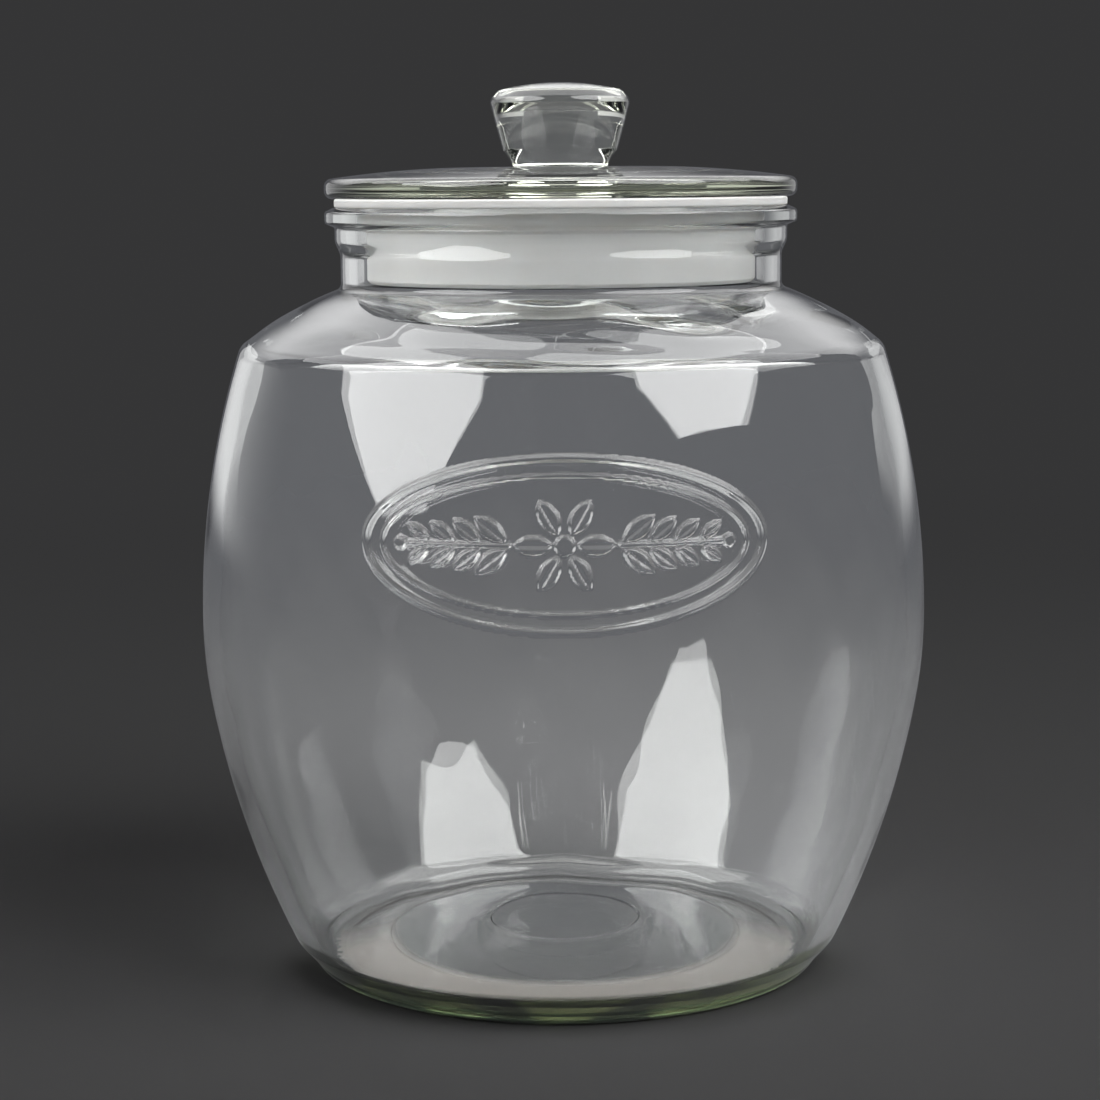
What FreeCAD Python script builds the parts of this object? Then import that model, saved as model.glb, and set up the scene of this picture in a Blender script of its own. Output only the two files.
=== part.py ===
import FreeCAD, Part
import math
import os

# A round glass storage jar with a glass lid and a soft seal between them.
# Millimetres, +Z up, origin at the centre of the base on the surface that it stands on.
# The front, which carries the raised medallion, faces -Y.

# Barrel: three arcs, one above the widest level and two below it.
WIDEST_RADIUS = 100.0
WIDEST_HEIGHT = 98.0
UPPER_CURVE = 244.0
BELLY_CURVE = 125.0
BELLY_ANGLE = 9.5
LOWER_CURVE = 255.0
BARREL_RISE = 75.0
WALL = 4.6

# Shoulder and neck.
SHOULDER_RISE = 15.4
SHOULDER_CURVE = 100.0
SHOULDER_CORNER = 6.0
NECK_RADIUS = 60.4
NECK_WALL = 4.4
NECK_HEIGHT = 21.9
NECK_FILLET = 2.2
COLLAR_HEIGHT = 12.6
COLLAR_STEP = 1.5
COLLAR_TAPER = 3.4
COLLAR_ROUNDING = 4.0
LIP_STANDOUT = 4.2
LIP_HEIGHT = 5.3
LIP_SIDE = 3.1
LIP_FLAT = 6.2
LIP_ROUNDING = 0.9

# Foot: heel bevel, bearing ring, and the pushed-up panel inside it with two ring steps.
HEEL_HEIGHT = 8.6
HEEL_INSET = 5.0
HEEL_ROUNDING = 3.0
FOOT_HEIGHT = 3.0
BEARING_INSET = 8.6
BEARING_WIDTH = 5.2
PANEL_BEVEL = 1.6
PANEL_RISE = 0.6
PANEL_DOME = 5.4
MOULD_RING_RADIUS = 48.8
BAFFLE_RING_RADIUS = 20.8
RING_STEP = 0.3
BASE_THICKNESS = 6.8
FLOOR_DOME = 9.9
FLOOR_CORNER = 10.0

# Raised medallion on the front of the barrel.
MEDALLION_WIDTH = 100.0
MEDALLION_TALL = 44.0
MEDALLION_HEIGHT = 31.5
RELIEF = 1.1
RELIEF_ROOT = 1.5
FRAME_LINE = 2.0
INNER_LINE = 1.2
FRAME_GAP = 2.6
PETALS = 6
PETAL_LENGTH = 9.0
PETAL_WIDTH = 4.6
BOSS_RADIUS = 2.4
LEAF_PAIRS = 4
LEAF_LENGTH = 9.5
LEAF_WIDTH = 4.2
LEAF_TURN = 38.0
LEAF_PITCH = 6.4
LEAF_SHRINK = 0.86
STEM_WIDTH = 1.3
BERRY_RADIUS = 1.5

# Seal: a flange on the lip, a rib that grips the bore, and a sleeve down inside the neck.
SEAL_SETBACK = 0.2
SEAL_FLANGE = 2.4
SEAL_SLEEVE_WALL = 2.2
SEAL_SLEEVE_DEPTH = 22.8
SEAL_LEAD_IN = 1.0
SEAL_RIB_HEIGHT = 5.0
SEAL_RIB_BEVEL = 1.4
SEAL_RIB_STANDOUT = 2.5
FIT_GAP = 0.3

# Lid: a crowned plate with a round edge, a plug ring under it and a solid knob on a foot ring.
LID_EDGE = 5.2
LID_CROWN = 3.1
LID_CREST_RADIUS = 23.0
LID_DIP = 1.4
LID_UNDER_RISE = 3.4
LID_EDGE_ROUNDING = 2.2
PLUG_WALL = 4.0
PLUG_DEPTH = 18.0
PLUG_ROUNDING = 1.4
FOOT_RING_RADIUS = 16.5
FOOT_RING_HEIGHT = 1.2
KNOB_WAIST = 12.8
KNOB_KINK_RADIUS = 15.7
KNOB_KINK_HEIGHT = 5.0
KNOB_TOP_RADIUS = 19.2
KNOB_TOP_HEIGHT = 18.1
KNOB_HEIGHT = 23.0
KNOB_CROWN = 2.1
KNOB_BROW = 2.2
KNOB_ROUNDING = 2.6


def point(radius, height):
    return FreeCAD.Vector(radius, 0, height)


def line(start, end):
    return Part.LineSegment(start, end).toShape()


def arc_about(centre, start, end):
    """The shorter arc from start to end around centre."""
    radius = (start - centre).Length
    middle = (start - centre) + (end - centre)
    middle.normalize()
    return Part.Arc(start, centre + middle * radius, end).toShape()


def arc_of_radius(start, end, radius):
    """The arc of this radius from start to end that bulges to the right of the way there."""
    along = end - start
    right = FreeCAD.Vector(along.z, 0, -along.x)
    right.normalize()
    sagitta = radius - math.sqrt(radius**2 - (along.Length / 2) ** 2)
    middle = (start + end) * 0.5 + right * sagitta
    return Part.Arc(start, middle, end).toShape()


def centre_of_arc(start, end, radius):
    """The centre of the arc that arc_of_radius makes."""
    along = end - start
    left = FreeCAD.Vector(-along.z, 0, along.x)
    left.normalize()
    return (start + end) * 0.5 + left * math.sqrt(radius**2 - (along.Length / 2) ** 2)


def on_circle(centre, radius, height):
    """The outer point of a circle at a height."""
    return point(centre.x + math.sqrt(radius**2 - (height - centre.z) ** 2), height)


def above_radius(centre, radius, across):
    """The upper point of a circle at a distance from the axis."""
    return point(across, centre.z + math.sqrt(radius**2 - (across - centre.x) ** 2))


def outer_meeting(centre_a, radius_a, centre_b, radius_b):
    """The meeting point of two circles that lies further from the axis."""
    apart = centre_b - centre_a
    gap = apart.Length
    along = (gap**2 + radius_a**2 - radius_b**2) / (2 * gap)
    aside = math.sqrt(radius_a**2 - along**2)
    apart.normalize()
    across = FreeCAD.Vector(-apart.z, 0, apart.x)
    meetings = [centre_a + apart * along + across * side * aside for side in (-1, 1)]
    return max(meetings, key=lambda meeting: meeting.x)


def revolved(edges):
    face = Part.Face(Part.Wire(edges))
    return face.revolve(FreeCAD.Vector(0, 0, 0), FreeCAD.Vector(0, 0, 1), 360)


def rounded(solid, radius, corners):
    """Round the circular edges that pass through the given outline points."""
    edges = []
    for edge in solid.Edges:
        if edge.Degenerated or not isinstance(edge.Curve, Part.Circle):
            continue
        for corner in corners:
            level = abs(edge.Curve.Center.z - corner.z) < 0.01
            if level and abs(edge.Curve.Radius - corner.x) < 0.01:
                edges.append(edge)
    if len(edges) != len(corners):
        raise ValueError("a corner to be rounded was not found")
    return solid.makeFillet(radius, edges)


# Levels from the base up.
BARREL_TOP = WIDEST_HEIGHT + BARREL_RISE
NECK_BASE = BARREL_TOP + SHOULDER_RISE
LIP_TOP = NECK_BASE + NECK_HEIGHT
SEAL_TOP = LIP_TOP + SEAL_FLANGE
LID_EDGE_TOP = SEAL_TOP + LID_EDGE
LID_CREST = LID_EDGE_TOP + LID_CROWN
KNOB_BASE = LID_CREST - LID_DIP + FOOT_RING_HEIGHT
BORE = NECK_RADIUS - NECK_WALL
LIP_RADIUS = NECK_RADIUS + LIP_STANDOUT
LIP_FLAT_RADIUS = BORE + LIP_FLAT

# Centres of the barrel's three arcs, each tangent to the next.
UPPER_CENTRE = point(WIDEST_RADIUS - UPPER_CURVE, WIDEST_HEIGHT)
BELLY_CENTRE = point(WIDEST_RADIUS - BELLY_CURVE, WIDEST_HEIGHT)
BELLY_WAY = point(math.cos(math.radians(BELLY_ANGLE)), -math.sin(math.radians(BELLY_ANGLE)))
LOWER_CENTRE = BELLY_CENTRE + BELLY_WAY * (BELLY_CURVE - LOWER_CURVE)
SHOULDER_START = on_circle(UPPER_CENTRE, UPPER_CURVE, BARREL_TOP)
SHOULDER_END = point(NECK_RADIUS, NECK_BASE)
SHOULDER_CENTRE = centre_of_arc(SHOULDER_START, SHOULDER_END, SHOULDER_CURVE)


def barrel_side(inset, foot):
    """The barrel's arcs from the foot point up to the widest level, moved inward by inset."""
    belly_low = BELLY_CENTRE + BELLY_WAY * (BELLY_CURVE - inset)
    widest = point(WIDEST_RADIUS - inset, WIDEST_HEIGHT)
    return [
        arc_about(LOWER_CENTRE, foot, belly_low),
        arc_about(BELLY_CENTRE, belly_low, widest),
    ]


def jar_outside():
    """The outline from the bearing ring up to the lip, and the points that get rounded."""
    heel_top = on_circle(LOWER_CENTRE, LOWER_CURVE, HEEL_HEIGHT)
    foot_top = point(heel_top.x - HEEL_INSET, FOOT_HEIGHT)
    bearing_outer = point(heel_top.x - BEARING_INSET, 0)
    widest = point(WIDEST_RADIUS, WIDEST_HEIGHT)
    collar_base = point(NECK_RADIUS, NECK_BASE + COLLAR_HEIGHT - COLLAR_TAPER)
    collar_top = point(NECK_RADIUS + COLLAR_STEP, NECK_BASE + COLLAR_HEIGHT)
    slope = (LIP_HEIGHT - LIP_SIDE) / 2
    lip = [
        point(collar_top.x, LIP_TOP - LIP_HEIGHT),
        point(LIP_RADIUS, LIP_TOP - LIP_HEIGHT + slope),
        point(LIP_RADIUS, LIP_TOP - slope),
        point(LIP_FLAT_RADIUS, LIP_TOP),
    ]
    edges = [
        arc_of_radius(bearing_outer, foot_top, (foot_top - bearing_outer).Length),
        line(foot_top, heel_top),
    ]
    edges += barrel_side(0, heel_top)
    edges += [
        arc_about(UPPER_CENTRE, widest, SHOULDER_START),
        arc_about(SHOULDER_CENTRE, SHOULDER_START, SHOULDER_END),
        line(SHOULDER_END, collar_base),
        line(collar_base, collar_top),
        line(collar_top, lip[0]),
    ]
    edges += [line(start, end) for start, end in zip(lip, lip[1:])]
    return edges, bearing_outer, heel_top, [collar_base, collar_top], lip


def base_panel(panel_edge):
    """The domed underside inside the bearing ring, stepped up at its two rings, and its top."""
    curve = (panel_edge.x**2 + PANEL_DOME**2) / (2 * PANEL_DOME)
    centre = point(0, panel_edge.z + PANEL_DOME - curve)
    edges = []
    start = panel_edge
    for radius in (MOULD_RING_RADIUS, BAFFLE_RING_RADIUS):
        stop = above_radius(centre, curve, radius)
        edges.append(arc_about(centre, start, stop))
        centre = centre + point(0, RING_STEP)
        start = above_radius(centre, curve, radius - RING_STEP)
        edges.append(line(stop, start))
    top = centre + point(0, curve)
    edges.append(arc_about(centre, start, top))
    return edges, top


def jar_body():
    """The blown glass body as one solid of revolution."""
    edges, bearing_outer, heel_top, collar, lip = jar_outside()
    bearing_inner = point(bearing_outer.x - BEARING_WIDTH, 0)
    underside, panel_top = base_panel(point(bearing_inner.x - PANEL_BEVEL, PANEL_RISE))
    floor_centre = point(0, panel_top.z + BASE_THICKNESS)
    floor_edge = on_circle(LOWER_CENTRE, LOWER_CURVE - WALL, floor_centre.z - FLOOR_DOME)
    floor_curve = (floor_edge.x**2 + FLOOR_DOME**2) / (2 * FLOOR_DOME)
    inner_widest = point(WIDEST_RADIUS - WALL, WIDEST_HEIGHT)
    inner_corner = outer_meeting(UPPER_CENTRE, UPPER_CURVE - WALL, SHOULDER_CENTRE, SHOULDER_CURVE - WALL)
    bore_base = above_radius(SHOULDER_CENTRE, SHOULDER_CURVE - WALL, BORE)
    lip_inner = point(BORE, LIP_TOP)

    edges += [line(lip[-1], lip_inner), line(lip_inner, bore_base)]
    edges += [
        arc_about(SHOULDER_CENTRE, bore_base, inner_corner),
        arc_about(UPPER_CENTRE, inner_corner, inner_widest),
    ]
    edges += barrel_side(WALL, floor_edge)
    edges += [
        arc_about(floor_centre - point(0, floor_curve), floor_edge, floor_centre),
        line(floor_centre, panel_top),
    ]
    edges += underside
    edges += [
        line(bearing_inner, point(bearing_inner.x - PANEL_BEVEL, PANEL_RISE)),
        line(bearing_inner, bearing_outer),
    ]
    body = revolved(Part.__sortEdges__(edges))
    body = rounded(body, SHOULDER_CORNER, [SHOULDER_START])
    body = rounded(body, NECK_FILLET, [SHOULDER_END, bore_base])
    body = rounded(body, COLLAR_ROUNDING, collar)
    body = rounded(body, LIP_ROUNDING, lip[1:3])
    body = rounded(body, HEEL_ROUNDING, [heel_top])
    return rounded(body, FLOOR_CORNER, [floor_edge])


def flat_face(edges):
    return Part.Face(Part.Wire(edges))


def oval(half_width, half_tall):
    ellipse = Part.Ellipse(FreeCAD.Vector(0, 0, 0), half_width, half_tall)
    face = flat_face([ellipse.toShape()])
    face.rotate(FreeCAD.Vector(0, 0, 0), FreeCAD.Vector(1, 0, 0), 90)
    return face


def oval_line(half_width, half_tall, width):
    return oval(half_width, half_tall).cut(oval(half_width - width, half_tall - width))


def disc(across, up, radius):
    circle = Part.Circle(point(across, up), FreeCAD.Vector(0, 1, 0), radius)
    return flat_face([circle.toShape()])


def leaf(across, up, turn, length, width):
    """A leaf of two arcs from its foot at (across, up), turned anticlockwise from +X."""
    foot = point(0, 0)
    tip = point(length, 0)
    over = Part.Arc(foot, point(length / 2, width / 2), tip).toShape()
    under = Part.Arc(tip, point(length / 2, -width / 2), foot).toShape()
    face = flat_face([over, under])
    face.rotate(FreeCAD.Vector(0, 0, 0), FreeCAD.Vector(0, -1, 0), turn)
    face.translate(point(across, up))
    return face


def rosette():
    """A plain flower of equal petals round a boss."""
    faces = [disc(0, 0, BOSS_RADIUS)]
    for petal in range(PETALS):
        turn = 360 * petal / PETALS
        across = (BOSS_RADIUS + 0.8) * math.cos(math.radians(turn))
        up = (BOSS_RADIUS + 0.8) * math.sin(math.radians(turn))
        faces.append(leaf(across, up, turn, PETAL_LENGTH, PETAL_WIDTH))
    return faces


def sprig(side):
    """A straight stem with pairs of leaves that get smaller outward, and a berry at its end."""
    start = BOSS_RADIUS + PETAL_LENGTH + 2.2
    end = start + LEAF_PITCH * LEAF_PAIRS
    low = min(side * start, side * end)
    stem = Part.makePlane(end - start, STEM_WIDTH, point(low, STEM_WIDTH / 2), FreeCAD.Vector(0, -1, 0))
    faces = [stem, disc(side * (end + 1.0), 0, BERRY_RADIUS)]
    for pair in range(LEAF_PAIRS):
        size = LEAF_SHRINK**pair
        across = side * (start + LEAF_PITCH * (pair + 0.1))
        for way in (-1, 1):
            turn = way * LEAF_TURN if side > 0 else 180 - way * LEAF_TURN
            faces.append(leaf(across, way * 0.9, turn, LEAF_LENGTH * size, LEAF_WIDTH * size))
    return faces


def medallion():
    """The raised frame, flower and sprigs, standing on the barrel's front."""
    half_width = MEDALLION_WIDTH / 2
    half_tall = MEDALLION_TALL / 2
    inset = FRAME_LINE + FRAME_GAP
    faces = [
        oval_line(half_width, half_tall, FRAME_LINE),
        oval_line(half_width - inset, half_tall - inset, INNER_LINE),
    ]
    faces += rosette() + sprig(-1) + sprig(1)
    level = WIDEST_HEIGHT + MEDALLION_HEIGHT
    low = level - half_tall - RELIEF
    high = level + half_tall + RELIEF
    skin = UPPER_CURVE + RELIEF
    root = UPPER_CURVE - RELIEF_ROOT
    band = revolved([
        arc_about(UPPER_CENTRE, on_circle(UPPER_CENTRE, skin, low), on_circle(UPPER_CENTRE, skin, high)),
        line(on_circle(UPPER_CENTRE, skin, high), on_circle(UPPER_CENTRE, root, high)),
        arc_about(UPPER_CENTRE, on_circle(UPPER_CENTRE, root, high), on_circle(UPPER_CENTRE, root, low)),
        line(on_circle(UPPER_CENTRE, root, low), on_circle(UPPER_CENTRE, skin, low)),
    ])
    depth = FreeCAD.Vector(0, -(WIDEST_RADIUS + RELIEF), 0)
    motifs = []
    for face in faces:
        face.translate(point(0, level))
        motifs.append(face.extrude(depth).common(band))
    return motifs


def jar():
    body = jar_body()
    return body.fuse(medallion())


def seal():
    """The soft ring: flange on the lip, rib against the bore, and a sleeve with a chamfered end."""
    rib_outer = BORE - FIT_GAP
    sleeve_outer = rib_outer - SEAL_RIB_STANDOUT
    sleeve_inner = sleeve_outer - SEAL_SLEEVE_WALL
    sleeve_end = SEAL_TOP - SEAL_SLEEVE_DEPTH
    rib_end = LIP_TOP - SEAL_RIB_HEIGHT
    flange_outer = point(LIP_FLAT_RADIUS - SEAL_SETBACK, SEAL_TOP)
    flange_under = point(LIP_FLAT_RADIUS - SEAL_SETBACK, LIP_TOP)
    corners = [
        flange_outer,
        flange_under,
        point(rib_outer, LIP_TOP),
        point(rib_outer, rib_end),
        point(sleeve_outer, rib_end - SEAL_RIB_BEVEL),
        point(sleeve_outer, sleeve_end + SEAL_LEAD_IN),
        point(sleeve_outer - SEAL_LEAD_IN, sleeve_end),
        point(sleeve_inner, sleeve_end),
        point(sleeve_inner, SEAL_TOP),
    ]
    edges = [line(start, end) for start, end in zip(corners, corners[1:] + corners[:1])]
    return rounded(revolved(edges), SEAL_FLANGE / 4, [flange_outer, flange_under])


def lid():
    """The pressed lid: crowned plate, plug ring under it and knob, in one piece of glass."""
    under_edge = point(LIP_RADIUS, SEAL_TOP)
    over_edge = point(LIP_RADIUS, LID_EDGE_TOP)
    crest = point(LID_CREST_RADIUS, LID_CREST)
    crown_width = LIP_RADIUS - LID_CREST_RADIUS
    crown = (crown_width**2 + LID_CROWN**2) / (2 * LID_CROWN)
    crown_centre = point(LID_CREST_RADIUS, LID_CREST - crown)
    ring_base = point(FOOT_RING_RADIUS, LID_CREST - LID_DIP)
    dip_width = LID_CREST_RADIUS - FOOT_RING_RADIUS
    dip = (dip_width**2 + LID_DIP**2) / (2 * LID_DIP)
    dip_centre = point(LID_CREST_RADIUS, LID_CREST - dip)
    ring_top = point(FOOT_RING_RADIUS, KNOB_BASE)
    waist = point(KNOB_WAIST, KNOB_BASE)
    kink = point(KNOB_KINK_RADIUS, KNOB_BASE + KNOB_KINK_HEIGHT)
    shoulder = point(KNOB_TOP_RADIUS, KNOB_BASE + KNOB_TOP_HEIGHT)
    brow = point(KNOB_TOP_RADIUS - KNOB_BROW, KNOB_BASE + KNOB_HEIGHT - KNOB_CROWN)
    top = point(0, KNOB_BASE + KNOB_HEIGHT)
    top_curve = (brow.x**2 + KNOB_CROWN**2) / (2 * KNOB_CROWN)
    plug_outer = BORE - FIT_GAP - SEAL_RIB_STANDOUT - SEAL_SLEEVE_WALL - FIT_GAP
    plug_inner = plug_outer - PLUG_WALL
    plug_end_outer = point(plug_outer, SEAL_TOP - PLUG_DEPTH)
    plug_end_inner = point(plug_inner, SEAL_TOP - PLUG_DEPTH)
    hollow_edge = point(plug_inner, SEAL_TOP)
    hollow_top = point(0, SEAL_TOP + LID_UNDER_RISE)
    hollow_curve = (plug_inner**2 + LID_UNDER_RISE**2) / (2 * LID_UNDER_RISE)
    edges = [
        line(hollow_top, top),
        arc_about(point(0, top.z - top_curve), top, brow),
        line(brow, shoulder),
        line(shoulder, kink),
        arc_of_radius(waist, kink, 2 * (kink - waist).Length),
        line(waist, ring_top),
        line(ring_top, ring_base),
        arc_about(dip_centre, ring_base, crest),
        arc_about(crown_centre, crest, over_edge),
        line(over_edge, under_edge),
        line(under_edge, point(plug_outer, SEAL_TOP)),
        line(point(plug_outer, SEAL_TOP), plug_end_outer),
        line(plug_end_outer, plug_end_inner),
        line(plug_end_inner, hollow_edge),
        arc_about(point(0, hollow_top.z - hollow_curve), hollow_edge, hollow_top),
    ]
    piece = revolved(Part.__sortEdges__(edges))
    piece = rounded(piece, LID_EDGE_ROUNDING, [under_edge, over_edge])
    piece = rounded(piece, PLUG_ROUNDING, [plug_end_outer, plug_end_inner])
    return rounded(piece, KNOB_ROUNDING, [shoulder, brow])


def write(name, solid):
    os.makedirs("parts", exist_ok=True)
    if not solid.isValid() or len(solid.Solids) != 1:
        raise ValueError(name + " is not one valid solid")
    solid.Solids[0].exportStep("parts/" + name + ".step")
    print(name, round(solid.Volume / 1000, 1), "cm3", len(solid.Faces), "faces")


write("jar", jar())
write("seal", seal())
write("lid", lid())
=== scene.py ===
import math

import bpy
import numpy as np
from mathutils import Matrix, Vector


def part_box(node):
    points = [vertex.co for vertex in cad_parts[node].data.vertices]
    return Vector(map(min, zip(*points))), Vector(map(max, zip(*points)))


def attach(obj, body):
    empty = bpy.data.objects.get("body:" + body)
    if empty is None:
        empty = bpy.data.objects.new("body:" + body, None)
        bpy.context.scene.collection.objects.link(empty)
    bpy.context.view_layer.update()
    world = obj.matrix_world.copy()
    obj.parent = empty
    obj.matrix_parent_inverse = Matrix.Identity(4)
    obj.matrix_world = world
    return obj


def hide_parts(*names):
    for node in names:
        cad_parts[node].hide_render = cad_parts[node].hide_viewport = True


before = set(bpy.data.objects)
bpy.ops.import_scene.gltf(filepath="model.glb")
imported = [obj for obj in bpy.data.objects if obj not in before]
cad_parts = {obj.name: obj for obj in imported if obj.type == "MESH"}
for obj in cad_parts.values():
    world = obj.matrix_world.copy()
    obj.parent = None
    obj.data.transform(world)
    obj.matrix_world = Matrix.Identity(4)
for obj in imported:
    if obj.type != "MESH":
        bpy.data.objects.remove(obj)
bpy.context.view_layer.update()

# A round glass storage jar with a pressed glass lid and a soft white seal. Metres, +Z up, front at -Y.

_, jar_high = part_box("jar")
lid_low, lid_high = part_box("lid")
seal_low, seal_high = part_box("seal")

# Levels and radii read from the frame.
WIDEST_RADIUS = jar_high.x
LIP_TOP = jar_high.z
LID_TOP_OF_KNOB = lid_high.z
LIP_RADIUS = lid_high.x
SEAL_RADIUS = seal_high.x
SEAL_TOP = seal_high.z
SEAL_END = seal_low.z
PLUG_END = lid_low.z

# The barrel's three arcs and the glass thickness.
WIDEST_HEIGHT = 0.098
UPPER_CURVE = 0.244
BELLY_CURVE = 0.125
BELLY_ANGLE = math.radians(9.5)
LOWER_CURVE = 0.255
BARREL_TOP = 0.173
WALL = 0.0046

# Shoulder, neck and lip.
NECK_BASE = 0.1884
SHOULDER_CURVE = 0.100
SHOULDER_CORNER = 0.006
NECK_RADIUS = 0.0604
BORE = 0.056
NECK_FILLET = 0.0022
COLLAR_HEIGHT = 0.0126
COLLAR_STEP = 0.0015
COLLAR_TAPER = 0.0034
COLLAR_ROUNDING = 0.004
LIP_HEIGHT = 0.0053
LIP_SIDE = 0.0031
LIP_FLAT = 0.0062
LIP_ROUNDING = 0.0009

# Heel, bearing ring and pushed-up base.
HEEL_HEIGHT = 0.0086
HEEL_INSET = 0.005
HEEL_ROUNDING = 0.003
FOOT_HEIGHT = 0.003
BEARING_INSET = 0.0086
BEARING_WIDTH = 0.0052
PANEL_BEVEL = 0.0016
PANEL_RISE = 0.0006
PANEL_DOME = 0.0054
MOULD_RING_RADIUS = 0.0488
BAFFLE_RING_RADIUS = 0.0208
RING_STEP = 0.0003
BASE_THICKNESS = 0.0068
FLOOR_DOME = 0.0099
FLOOR_CORNER = 0.010

# Lid.
LID_EDGE = 0.0052
LID_CROWN = 0.0031
LID_CREST_RADIUS = 0.023
LID_DIP = 0.0014
LID_UNDER_RISE = 0.0034
LID_EDGE_ROUNDING = 0.0022
PLUG_RADIUS = 0.0507
PLUG_WALL = 0.004
PLUG_ROUNDING = 0.0014
FOOT_RING_RADIUS = 0.0165
FOOT_RING_HEIGHT = 0.0012
KNOB_WAIST = 0.0128
KNOB_KINK_RADIUS = 0.0157
KNOB_KINK_HEIGHT = 0.005
KNOB_TOP_RADIUS = 0.0192
KNOB_TOP_HEIGHT = 0.0181
KNOB_CROWN = 0.0021
KNOB_BROW = 0.0022
KNOB_ROUNDING = 0.0026

# Seal.
RIB_RADIUS = 0.0557
RIB_HEIGHT = 0.005
RIB_BEVEL = 0.0014
RIB_STANDOUT = 0.0025
SLEEVE_WALL = 0.0022
AIR = 0.00006

# Medallion.
MEDALLION_LEVEL = 0.1295
MEDALLION_WIDTH = 0.100
MEDALLION_TALL = 0.044
RELIEF = 0.0011


def at(radius, height):
    return np.array([radius, height], float)


def unit(v):
    return v / np.linalg.norm(v)


def line(start, end):
    steps = max(2, int(np.linalg.norm(end - start) / 0.0002))
    t = np.linspace(0, 1, steps + 1)[:, None]
    return start + (end - start) * t


def arc(centre, start, end):
    """The shorter arc round centre."""
    a = math.atan2(*(start - centre)[::-1])
    b = math.atan2(*(end - centre)[::-1])
    b = a + (b - a + math.pi) % (2 * math.pi) - math.pi
    radius = np.linalg.norm(start - centre)
    steps = max(8, int(radius * abs(b - a) / 0.0002))
    t = np.linspace(a, b, steps + 1)
    return centre + radius * np.stack([np.cos(t), np.sin(t)], 1)


def arc_right_centre(start, end, radius):
    along = end - start
    left = unit(at(-along[1], along[0]))
    return (start + end) / 2 + left * math.sqrt(radius**2 - (np.linalg.norm(along) / 2) ** 2)


def arc_right(start, end, radius):
    """An arc that bulges to the right of the way from start to end."""
    return arc(arc_right_centre(start, end, radius), start, end)


def outer_on(centre, radius, height):
    return at(centre[0] + math.sqrt(radius**2 - (height - centre[1]) ** 2), height)


def upper_on(centre, radius, across):
    return at(across, centre[1] + math.sqrt(radius**2 - (across - centre[0]) ** 2))


def meeting(centre_a, radius_a, centre_b, radius_b):
    apart = centre_b - centre_a
    gap = np.linalg.norm(apart)
    along = (gap**2 + radius_a**2 - radius_b**2) / (2 * gap)
    aside = math.sqrt(radius_a**2 - along**2)
    across = at(-apart[1], apart[0]) / gap
    found = [centre_a + apart / gap * along + across * side * aside for side in (-1, 1)]
    return max(found, key=lambda p: p[0])


def trimmed(points, length):
    """The polyline without its last stretch of this length."""
    steps = np.linalg.norm(np.diff(points, axis=0), axis=1)
    run = np.concatenate([[0], np.cumsum(steps)])
    keep = run[-1] - length
    last = np.array([np.interp(keep, run, points[:, k]) for k in (0, 1)])
    return np.vstack([points[run < keep - 1e-9], last])


def joined(pieces, rounding):
    """One outline from pieces in order; rounding[i] is the radius between piece i and the next."""
    pieces = [np.array(p) for p in pieces]
    blends = []
    for i, radius in enumerate(rounding):
        a, b = pieces[i], pieces[i + 1]
        way_a, way_b = unit(a[-1] - a[-2]), unit(b[1] - b[0])
        turn = math.acos(max(-1, min(1, float(way_a @ way_b))))
        if radius <= 0 or turn < 0.01:
            blends.append(None)
            continue
        cut = radius * math.tan(turn / 2)
        pieces[i] = trimmed(a, cut)
        pieces[i + 1] = trimmed(b[::-1], cut)[::-1]
        p, q = pieces[i][-1], pieces[i + 1][0]
        way_a = unit(pieces[i][-1] - pieces[i][-2])
        way_b = unit(pieces[i + 1][1] - pieces[i + 1][0])
        reach = 4 / 3 * math.tan(turn / 4) * radius
        t = np.linspace(0, 1, 25)[1:-1, None]
        blends.append(
            (1 - t) ** 3 * p
            + 3 * (1 - t) ** 2 * t * (p + way_a * reach)
            + 3 * (1 - t) * t**2 * (q - way_b * reach)
            + t**3 * q
        )
    out = [pieces[0]]
    for blend, piece in zip(blends, pieces[1:]):
        if blend is None:
            out.append(piece[1:])
        else:
            out += [blend, piece]
    return np.vstack(out)


def resampled(points, longest, turn):
    """Outline points and outward normals, closer together where the outline bends.

    longest gives the largest step at a point, and turn is the largest turn per step in radians.
    """
    steps = np.diff(points, axis=0)
    lengths = np.linalg.norm(steps, axis=1)
    keep = np.concatenate([[True], lengths > 1e-7])
    points = points[keep]
    steps = np.diff(points, axis=0)
    lengths = np.linalg.norm(steps, axis=1)
    heading = np.unwrap(np.arctan2(steps[:, 1], steps[:, 0]))
    middle = (points[1:] + points[:-1]) / 2
    bend = np.abs(np.gradient(heading))
    cost = np.maximum(lengths / longest(middle), bend / turn)
    run = np.concatenate([[0], np.cumsum(cost)])
    want = np.linspace(0, run[-1], int(math.ceil(run[-1])) + 1)
    place = np.stack([np.interp(want, run, points[:, k]) for k in (0, 1)], 1)
    mids = (run[1:] + run[:-1]) / 2
    way = np.interp(want, mids, heading)
    return place, np.stack([np.sin(way), -np.cos(way)], 1)


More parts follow.
